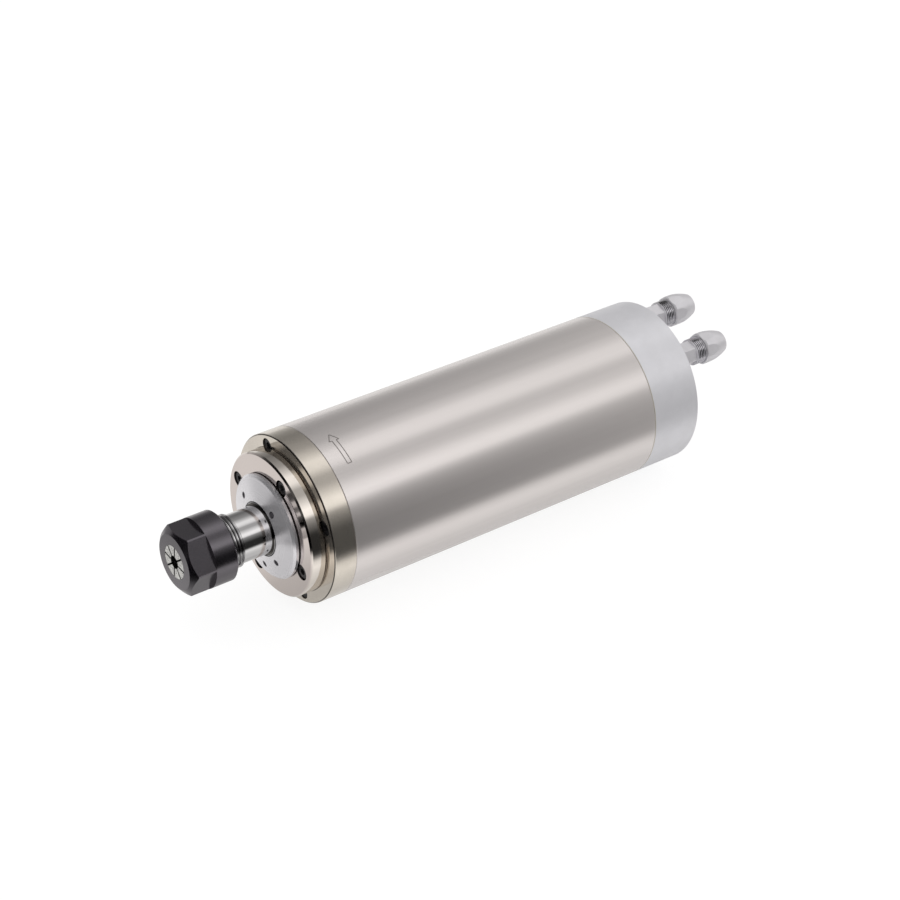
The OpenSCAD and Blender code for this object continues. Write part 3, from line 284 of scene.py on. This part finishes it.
class Surface(Nodes):
    """A procedural material, with marks that follow the spindle's axis."""

    def __init__(self, name, color, roughness, metallic=1.0, **constants):
        self.material = bpy.data.materials.new(name)
        self.material.use_nodes = True
        super().__init__(self.material.node_tree)
        self.shader = self.tree.nodes["Principled BSDF"]
        self.shader.inputs["Base Color"].default_value = (*color, 1)
        self.shader.inputs["Roughness"].default_value = roughness
        self.shader.inputs["Metallic"].default_value = metallic
        for key, value in constants.items():
            self.shader.inputs[key.replace("_", " ")].default_value = value
        self.place = self.node("ShaderNodeTexCoord").outputs["Object"]
        parts = self.node("ShaderNodeSeparateXYZ")
        self.join(self.place, parts.inputs[0])
        self.x, self.y, self.z = parts.outputs
        self.radius = self.distance(0, 0)
        self.tint = None
        self.rough = None

    def distance(self, y, z):
        """Distance from a line along X."""
        dy, dz = self.less(self.y, y), self.less(self.z, z)
        return self.combine("SQRT", self.combine("ADD", self.product(dy, dy), self.product(dz, dz)))

    def off_plane(self, turn):
        """Distance from a plane through the spindle's axis, turned from Y by an angle."""
        a = math.radians(turn)
        across = self.less(self.product(self.z, math.cos(a)), self.product(self.y, math.sin(a)))
        return self.combine("ABSOLUTE", across)

    def stretched(self, scale):
        """Coordinates scaled by a factor for each axis."""
        made = self.node("ShaderNodeMapping")
        made.inputs["Scale"].default_value = scale
        self.join(self.place, made.inputs["Vector"])
        return made.outputs[0]

    def turned(self, scale):
        """Coordinates that are the same all round the spindle's axis, for marks of turning."""
        made = self.node("ShaderNodeCombineXYZ")
        self.join(self.product(self.x, scale), made.inputs["X"])
        self.join(self.product(self.radius, scale), made.inputs["Y"])
        return made.outputs[0]

    def noise(self, source, scale=1.0, detail=3.0, rough=0.5):
        made = self.node("ShaderNodeTexNoise")
        made.inputs["Scale"].default_value = scale
        made.inputs["Detail"].default_value = detail
        made.inputs["Roughness"].default_value = rough
        self.join(source, made.inputs["Vector"])
        return made.outputs[0]

    def near(self, value, at, half):
        """1 where a length is at a place in mm, falling to 0 at a distance."""
        off = self.combine("ABSOLUTE", self.less(value, at * MM))
        return self.spread(off, 1, 0, half * LINE_FULL * MM, half * MM)

    def below(self, value, at, soft=0.1):
        """1 where a length is less than a place in mm."""
        return self.spread(value, 1, 0, (at - soft) * MM, (at + soft) * MM)

    def set_tint(self, color):
        self.tint = color
        self.join(color, self.shader.inputs["Base Color"])

    def color_by(self, value, stops):
        """Base colour from (position, colour) stops along a value."""
        self.set_tint(self.ramp(value, stops))

    def paint_where(self, mask, color, share=1.0):
        """Takes the colour to another one where the mask is 1, fully or in part."""
        made = self.node("ShaderNodeMix", data_type="RGBA")
        self.join(self.product(mask, share), made.inputs[MIX_SHARE])
        self.join(self.tint, made.inputs[MIX_COLOR_A])
        made.inputs[MIX_COLOR_B].default_value = (*color, 1)
        self.set_tint(made.outputs[MIX_COLOR_OUT])

    def set_rough(self, value):
        self.rough = value
        self.join(value, self.shader.inputs["Roughness"])

    def rough_by(self, value, low, high):
        self.set_rough(self.spread(value, low, high))

    def polish(self, mask, roughness):
        """Takes the roughness to another one where the mask is 1."""
        self.set_rough(self.mix(mask, self.rough, roughness))

    def bump_by(self, value, depth):
        """Fine relief from a value, with its depth in metres."""
        made = self.node("ShaderNodeBump")
        made.inputs["Distance"].default_value = depth
        self.join(value, made.inputs["Height"])
        self.join(made.outputs["Normal"], self.shader.inputs["Normal"])

    def brush_round_axis(self, amount):
        """Stretches the highlights across the marks of turning, which run round the axis."""
        made = self.node("ShaderNodeTangent", direction_type="RADIAL", axis="X")
        self.join(made.outputs[0], self.shader.inputs["Tangent"])
        self.shader.inputs["Anisotropic"].default_value = amount


def shade(color, factor):
    """A colour made darker or lighter."""
    return tuple(min(1.0, c * factor) for c in color)


def tones(color, dark, light):
    """Colour stops for a noise texture: darker where it is low, lighter where it is high."""
    return [(NOISE_LOW, shade(color, dark)), (NOISE_HIGH, shade(color, light))]


def drawn_metal(name, color, roughness, contrast=0.05, matte=(0.0, 0.0), wear=0.03, depth=0.8 * MICRON):
    """Metal ground along the axis, with long fine streaks and a matte share at its front and rear."""
    s = Surface(name, color, roughness)
    metallic = s.spread(s.x, 1 - matte[0], 1 - matte[1], -SLEEVE_X, SLEEVE_X)
    s.join(metallic, s.shader.inputs["Metallic"])
    fine = s.noise(s.stretched(FINE_STREAKS), detail=4)
    s.color_by(s.noise(s.stretched(WIDE_STREAKS)), tones(color, 1 - contrast, 1 + contrast))
    s.rough_by(fine, roughness - wear, roughness + wear)
    s.bump_by(fine, depth)
    return s


def turned_metal(name, color, roughness, contrast=0.05, depth=3 * MICRON, brushed=0.0, matte=0.0,
                 wear=(0.75, 1.3)):
    """Metal turned on a lathe, with fine rings round the axis."""
    s = Surface(name, color, roughness, 1 - matte)
    rings = s.noise(s.turned(RINGS), detail=2)
    clouds = s.noise(s.place, scale=TURNED_CLOUDS, detail=4)
    s.color_by(clouds, tones(color, 1 - contrast, 1 + contrast))
    s.rough_by(rings, roughness * wear[0], roughness * wear[1])
    s.bump_by(rings, depth)
    if brushed:
        s.brush_round_axis(brushed)
    return s


def grained(name, color, roughness, metallic, grain=2400, depth=12 * MICRON, contrast=0.12, wear=0.08):
    """Fine grain all over: blasted, cast, moulded or oxidised surfaces."""
    s = Surface(name, color, roughness, metallic)
    fine = s.noise(s.place, scale=grain)
    clouds = s.noise(s.place, scale=GRAIN_CLOUDS, detail=5)
    s.color_by(clouds, tones(color, 1 - contrast, 1 + contrast))
    s.rough_by(fine, roughness - wear, roughness + wear)
    s.bump_by(fine, depth)
    return s


def oxide(name, color, roughness, ior, sheen, patches=(0.6, 1.8), wear=(-0.04, 0.06), depth=1.5 * MICRON):
    """Glossy black oxide: dark below, with a clear sheen."""
    s = Surface(name, color, roughness, 0.0, IOR=ior, Specular_Tint=(*sheen, 1))
    fine = s.noise(s.place, scale=OXIDE_GRAIN, detail=4)
    clouds = s.noise(s.place, scale=OXIDE_CLOUDS, detail=5)
    s.color_by(clouds, tones(color, *patches))
    s.rough_by(fine, roughness + wear[0], roughness + wear[1])
    s.bump_by(fine, depth)
    return s


def laminated(name, color, roughness, sheets=(0.75, 1.1), wear=0.1, depth=20 * MICRON):
    """Stack of thin steel sheets across the axis."""
    s = Surface(name, color, roughness)
    made = s.node("ShaderNodeTexWave", bands_direction="X")
    made.inputs["Scale"].default_value = SHEETS
    made.inputs["Distortion"].default_value = SHEETS_BENT
    s.join(s.place, made.inputs["Vector"])
    s.color_by(made.outputs["Fac"], tones(color, *sheets))
    s.bump_by(made.outputs["Fac"], depth)
    s.rough_by(s.noise(s.place, scale=SHEETS_WEAR), roughness - wear, roughness + wear)
    return s


def speckled_steel(name, color, roughness, metallic, wear=(0.12, -0.08), depth=10 * MICRON):
    """Ground steel with small dark pits."""
    s = Surface(name, color, roughness, metallic)
    pits = s.noise(s.place, scale=PITS, detail=4, rough=0.7)
    s.color_by(pits, [(at, shade(color, factor)) for at, factor in PIT_TONES])
    s.rough_by(pits, roughness + wear[0], roughness + wear[1])
    s.bump_by(pits, depth)
    return s


def outer_surfaces():
    """Materials of the pieces that show at rest, by the record's slots."""
    return {
        "flange_nickel": turned_metal("satin_nickel", (0.69, 0.64, 0.57), 0.16, contrast=0.04,
                                      depth=1 * MICRON, matte=0.1),
        "cover_nickel": turned_metal("polished_nickel", (0.76, 0.71, 0.655), 0.09, contrast=0.03,
                                     depth=1.5 * MICRON),
        "sleeve_steel": drawn_metal("drawn_steel", (0.76, 0.72, 0.705), 0.22, contrast=0.02,
                                    matte=(0.33, 0.58)),
        "cap_aluminium": grained("blasted_aluminium", (0.80, 0.80, 0.835), 0.42, 0.28, contrast=0.03),
        "screw_black": grained("black_oxide_screw", (0.035, 0.034, 0.036), 0.42, 0.5),
        "fitting_chrome": grained("satin_chrome", (0.80, 0.79, 0.82), 0.45, FITTING_METAL, grain=2600,
                                  depth=3 * MICRON, contrast=0.04),
        "connector_metal": turned_metal("nickel_shell", (0.68, 0.68, 0.70), 0.25),
        "connector_plastic": grained("moulded_insert", (0.03, 0.03, 0.033), 0.45, 0.0),
        "pin_gold": grained("gold_pins", (0.83, 0.62, 0.25), 0.25, 1.0, grain=3000,
                            depth=2 * MICRON, contrast=0.05),
        "shaft_steel": turned_metal("polished_shaft", (0.64, 0.635, 0.64), 0.08, contrast=0.03,
                                    depth=1 * MICRON),
        "disc_steel": turned_metal("turned_disc", (0.86, 0.85, 0.885), 0.22, contrast=0.02,
                                   depth=0.8 * MICRON, brushed=0.5, matte=0.3),
        "collet_steel": speckled_steel("collet_steel", (0.80, 0.80, 0.775), 0.38, 0.6),
        "nut_oxide": oxide("black_oxide_nut", (0.004, 0.0035, 0.005), 0.20, ior=2.2,
                           sheen=(0.97, 0.91, 1.0)),
    }


def inner_surfaces():
    """Materials of the pieces inside, by the record's slots."""
    return {
        "jacket_aluminium": turned_metal("machined_aluminium", (0.78, 0.79, 0.81), 0.3),
        "seal_rubber": grained("seal_rubber", (0.03, 0.03, 0.032), 0.6, 0.0),
        "gasket_fibre": grained("gasket_fibre", (0.20, 0.26, 0.23), 0.8, 0.0, grain=1200,
                                depth=30 * MICRON),
        "core_iron": laminated("laminated_iron", (0.30, 0.31, 0.33), 0.45),
        "winding_copper": drawn_metal("enamelled_copper", (0.72, 0.30, 0.12), 0.3, contrast=0.2),
        "bearing_steel": turned_metal("bearing_steel", (0.66, 0.67, 0.70), 0.15),
        "spacer_steel": turned_metal("spacer_steel", (0.60, 0.61, 0.63), 0.25),
        "spring_steel": turned_metal("spring_steel", (0.42, 0.42, 0.46), 0.3),
        "ball_steel": grained("ball_steel", (0.80, 0.81, 0.83), 0.12, 1.0, grain=3000,
                              depth=1 * MICRON, contrast=0.02),
        "cage_plastic": grained("cage_laminate", (0.42, 0.25, 0.10), 0.5, 0.0),
        "washer_copper": turned_metal("washer_copper", (0.72, 0.40, 0.24), 0.3),
        "ferrule_brass": turned_metal("machined_brass", (0.80, 0.62, 0.28), 0.25),
        "wire_insulation": grained("wire_insulation", (0.50, 0.04, 0.03), 0.4, 0.0, grain=900,
                                   depth=10 * MICRON),
    }


def edge(node, side):
    """Place in mm of a node's front (0) or rear (1) end."""
    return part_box(node)[side].x / MM


def axis_of(node):
    """Middle of a node's box across X."""
    low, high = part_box(node)
    return (low.y + high.y) / 2, (low.z + high.z) / 2


def mark_seams(sleeve, flange, cap):
    """Fine lines where the sleeve meets the flange and the cap."""
    front, rear = edge("body_sleeve", 0), edge("body_sleeve", 1)
    sleeve.paint_where(sleeve.near(sleeve.x, front, SEAM), SLEEVE_FRONT_SEAM)
    sleeve.paint_where(sleeve.near(sleeve.x, rear, SEAM), SLEEVE_REAR_SEAM)
    flange.paint_where(flange.near(flange.x, front, SEAM), FLANGE_SEAM)
    cap.paint_where(cap.near(cap.x, rear, CAP_SEAM), CAP_SEAM_COLOR)


def mark_flange(flange, cover):
    """Polished face of the flange, a painted dark reflection on its rim's chamfer, and painted shade in
    the corner round the cover, on the flange and on the cover.
    """
    face, cover_r = edge("front_flange", 0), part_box("front_cover")[1].y / MM
    flange.polish(flange.below(flange.radius, BODY_R / MM - FLANGE_FACE_IN), FLANGE_FACE_ROUGH)
    # Painted shade in the flange's corner round the cover
    flange.paint_where(flange.near(flange.radius, cover_r, CORNER), PAINTED_SHADE_AND_REFLECTION)
    # Painted dark reflection on the rim's chamfer
    rim = flange.near(flange.radius, BODY_R / MM - RIM_IN, RIM_LINE)
    flange.paint_where(flange.product(rim, flange.below(flange.x, face + RIM_DEEP)), PAINTED_SHADE_AND_REFLECTION)
    cover.paint_where(cover.below(cover.radius, cover_r - COVER_FACE_IN), COVER_FACE, COVER_FACE_SHARE)
    # Painted shade in the cover's corner at the flange's face
    cover.paint_where(cover.near(cover.x, face, COVER_LINE), COVER_CORNER_SHADE)


def mark_shaft(shaft):
    """Painted shade in the roots of the neck's thread, and in the line where the neck enters the dust
    disc.
    """
    root_shade_mask = shaft.below(shaft.radius, THREAD_ROOT_R, THREAD_ROOT_SOFT)
    shaft.paint_where(shaft.product(shaft.below(shaft.x, NECK_THREAD_X), root_shade_mask), NECK_ROOT_SHADE)
    shaft.paint_where(shaft.near(shaft.x, edge("dust_disc", 0) - NECK_LINE_AHEAD, NECK_LINE), PAINTED_SHADE_AND_REFLECTION)


def mark_disc(disc):
    """Painted shade round the disc's bore, and painted shade round its balance drillings with a painted
    white glint at their ends.
    """
    disc.paint_where(disc.near(disc.radius, DISC_BORE_R, DISC_EDGE), DISC_BORE_SHADE)
    for radius, turn in BALANCE_DRILLINGS:
        at = math.radians(turn)
        off = disc.distance(radius * MM * math.cos(at), radius * MM * math.sin(at))
        disc.paint_where(disc.near(off, DRILLING_RIM_R, DRILLING_LINE), DRILLING_RIM_SHADE)
        disc.paint_where(disc.below(off, DRILLING_END_R, DRILLING_END_SOFT), DRILLING_GLINT)


def mark_fittings(fitting):
    """Bright threads of the water fittings, with painted shade in their roots."""
    axes = [fitting.distance(*axis_of(node)) for node in ("inlet_fitting", "outlet_fitting")]
    off = fitting.combine("MINIMUM", *axes)
    thread = fitting.near(fitting.x, FITTING_THREAD_X, FITTING_THREAD_HALF)
    fitting.join(fitting.spread(thread, FITTING_METAL, 1, 0, 1), fitting.shader.inputs["Metallic"])
    fitting.polish(thread, FITTING_THREAD_ROUGH)
    root_shade_mask = fitting.below(off, FITTING_ROOT_R, FITTING_ROOT_SOFT)
    fitting.paint_where(fitting.product(thread, root_shade_mask), FITTING_ROOT_SHADE)


def mark_collet(collet):
    """Painted shade in the collet's bore and slots."""
    collet.paint_where(collet.below(collet.radius, COLLET_BORE_R), COLLET_HOLLOW_SHADE)
    for turn in COLLET_SLOTS:
        collet.paint_where(collet.below(collet.off_plane(turn), COLLET_SLOT_HALF), COLLET_HOLLOW_SHADE)


def mark_surfaces(surfaces):
    """Seam lines, and painted shade, a painted dark reflection and painted glints in the corners,
    threads, bores and hollows that show from outside.
    """
    mark_seams(surfaces["sleeve_steel"], surfaces["flange_nickel"], surfaces["cap_aluminium"])
    mark_flange(surfaces["flange_nickel"], surfaces["cover_nickel"])
    mark_shaft(surfaces["shaft_steel"])
    mark_disc(surfaces["disc_steel"])
    mark_fittings(surfaces["fitting_chrome"])
    mark_collet(surfaces["collet_steel"])


def dress_nodes(surfaces):
    """Gives each CAD node the material of its slot."""
    for part in frame["record"]["subparts"]:
        node = frame["nodes"][part["node"]]
        node.data.materials.clear()
        node.data.materials.append(surfaces[part["material_slot"]].material)


def add_object(name, form, material):
    """Object in the scene from a bmesh, with one material."""
    mesh = bpy.data.meshes.new(name)
    form.to_mesh(mesh)
    form.free()
    mesh.materials.append(material)
    made = bpy.data.objects.new(name, mesh)
    bpy.context.scene.collection.objects.link(made)
    return made


def on_sleeve(x, angle):
    """Point just above the sleeve's surface, from x in mm and the angle in degrees."""
    r = BODY_R + ARROW_PROUD * MM
    a = math.radians(angle)
    return Vector((x * MM, r * math.cos(a), r * math.sin(a)))


def etched_line(form, a, b, width):
    """Strip along the sleeve between two (x, angle) points."""
    per_degree = math.radians(1) * BODY_R / MM
    dx, da = b[0] - a[0], (b[1] - a[1]) * per_degree
    length = math.hypot(dx, da)
    side_x, side_a = -da / length * width / 2, dx / length * width / 2 / per_degree
    steps = max(1, math.ceil(abs(b[1] - a[1]) / ARROW_STEP))
    rows = []
    for k in range(steps + 1):
        x = a[0] + (b[0] - a[0]) * k / steps
        angle = a[1] + (b[1] - a[1]) * k / steps
        rows.append([form.verts.new(on_sleeve(x + s * side_x, angle + s * side_a)) for s in (-1, 1)])
    for low, high in zip(rows, rows[1:]):
        form.faces.new((low[0], low[1], high[1], high[0]))


def add_arrow(material):
    """Outlined arrow on the sleeve: a shaft of two lines and a head."""
    low, high = ARROW_TURN
    neck = low + ARROW_HEAD_TURN
    side = [(ARROW_HALF, high), (ARROW_HALF, neck), (ARROW_HEAD_HALF, neck)]
    corners = [(ARROW_X - dx, turn) for dx, turn in side] + [(ARROW_X, low)]
    corners += [(ARROW_X + dx, turn) for dx, turn in reversed(side)]
    form = bmesh.new()
    for a, b in zip(corners, corners[1:] + corners[:1]):
        etched_line(form, a, b, ARROW_LINE)
    bmesh.ops.recalc_face_normals(form, faces=form.faces)
    arrow = add_object("rotation_arrow", form, material)
    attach(arrow, "housing")


def make_world():
    """White for the camera, soft bands for the metal to mirror and an even light for all else."""
    world = bpy.data.worlds.new("studio")
    world.use_nodes = True
    world.node_tree.nodes.clear()
    bpy.context.scene.world = world
    n = Nodes(world.node_tree)
    x, y, z = n.places("Generated")
    turn = n.combine("ARCTAN2", z, y)
    sky, nose = (n.levels(turn, (-math.pi, math.pi), [(math.radians(a), level) for a, level in stops])
                 for stops in (SKY_STOPS, NOSE_STOPS))
    bands = n.mix(n.spread(x, 0, 1, NOSE_FROM, NOSE_TO), sky, nose)
    left = n.levels(x, (-1, 1), [(NOSE_DARK_TO, NOSE_DARK), (NOSE_DARK_FROM, 1)])
    background = "ShaderNodeBackground"
    n.finish("ShaderNodeOutputWorld",
             seen=n.light(background, (1, 1, 1), 1.0),
             mirrored=n.light(background, SKY_TINT, n.product(bands, left)),
             other=n.light(background, AMBIENT_TINT, AMBIENT))


def floor_material():
    """Pale floor: white with a faint shadow to the camera, with darker parts for the metal to mirror."""
    material = bpy.data.materials.new("studio_floor")
    material.use_nodes = True
    material.node_tree.nodes.clear()
    n = Nodes(material.node_tree)
    x, y, _ = n.places("Object")
    across = n.levels(y, FLOOR_Y, FLOOR_ACROSS)
    dark = n.product(n.levels(y, FLOOR_Y, FLOOR_NOSE), n.less(1, n.levels(x, FLOOR_X, FLOOR_ALONG)))
    seen = n.node("ShaderNodeAddShader")
    shaded = n.node("ShaderNodeBsdfDiffuse")
    shaded.inputs["Color"].default_value = (*FLOOR_GREY, 1)
    n.join(shaded.outputs[0], seen.inputs[0])
    n.join(n.light("ShaderNodeEmission", (1, 1, 1), FLOOR_GLOW), seen.inputs[1])
    n.finish("ShaderNodeOutputMaterial",
             seen=seen.outputs[0],
             mirrored=n.light("ShaderNodeEmission", FLOOR_TINT, n.product(across, n.less(1, dark))),
             other=n.node("ShaderNodeBsdfDiffuse").outputs[0])
    return material


def add_floor():
    form = bmesh.new()
    bmesh.ops.create_grid(form, x_segments=1, y_segments=1, size=FLOOR_HALF)
    floor = add_object("floor", form, floor_material())
    floor.location = (0, 0, -BODY_R - FLOOR_GAP)


def add_camera():
    data = bpy.data.cameras.new("camera")
    data.lens = CAMERA_LENS
    data.sensor_width = CAMERA_SENSOR
    camera = bpy.data.objects.new("camera", data)
    camera.location = CAMERA_AT
    camera.rotation_mode = "QUATERNION"
    camera.rotation_quaternion = CAMERA_LOOKS.to_track_quat("-Z", "Y")
    bpy.context.scene.collection.objects.link(camera)
    bpy.context.scene.camera = camera


def main():
    surfaces = {**outer_surfaces(), **inner_surfaces()}
    mark_surfaces(surfaces)
    dress_nodes(surfaces)
    etched = grained("etched_grey", (0.24, 0.22, 0.21), 0.55, 0.6, grain=3000,
                     depth=4 * MICRON, contrast=0.2)
    add_arrow(etched.material)
    make_world()
    add_floor()
    add_camera()
    bpy.context.scene.view_settings.view_transform = "Standard"


main()
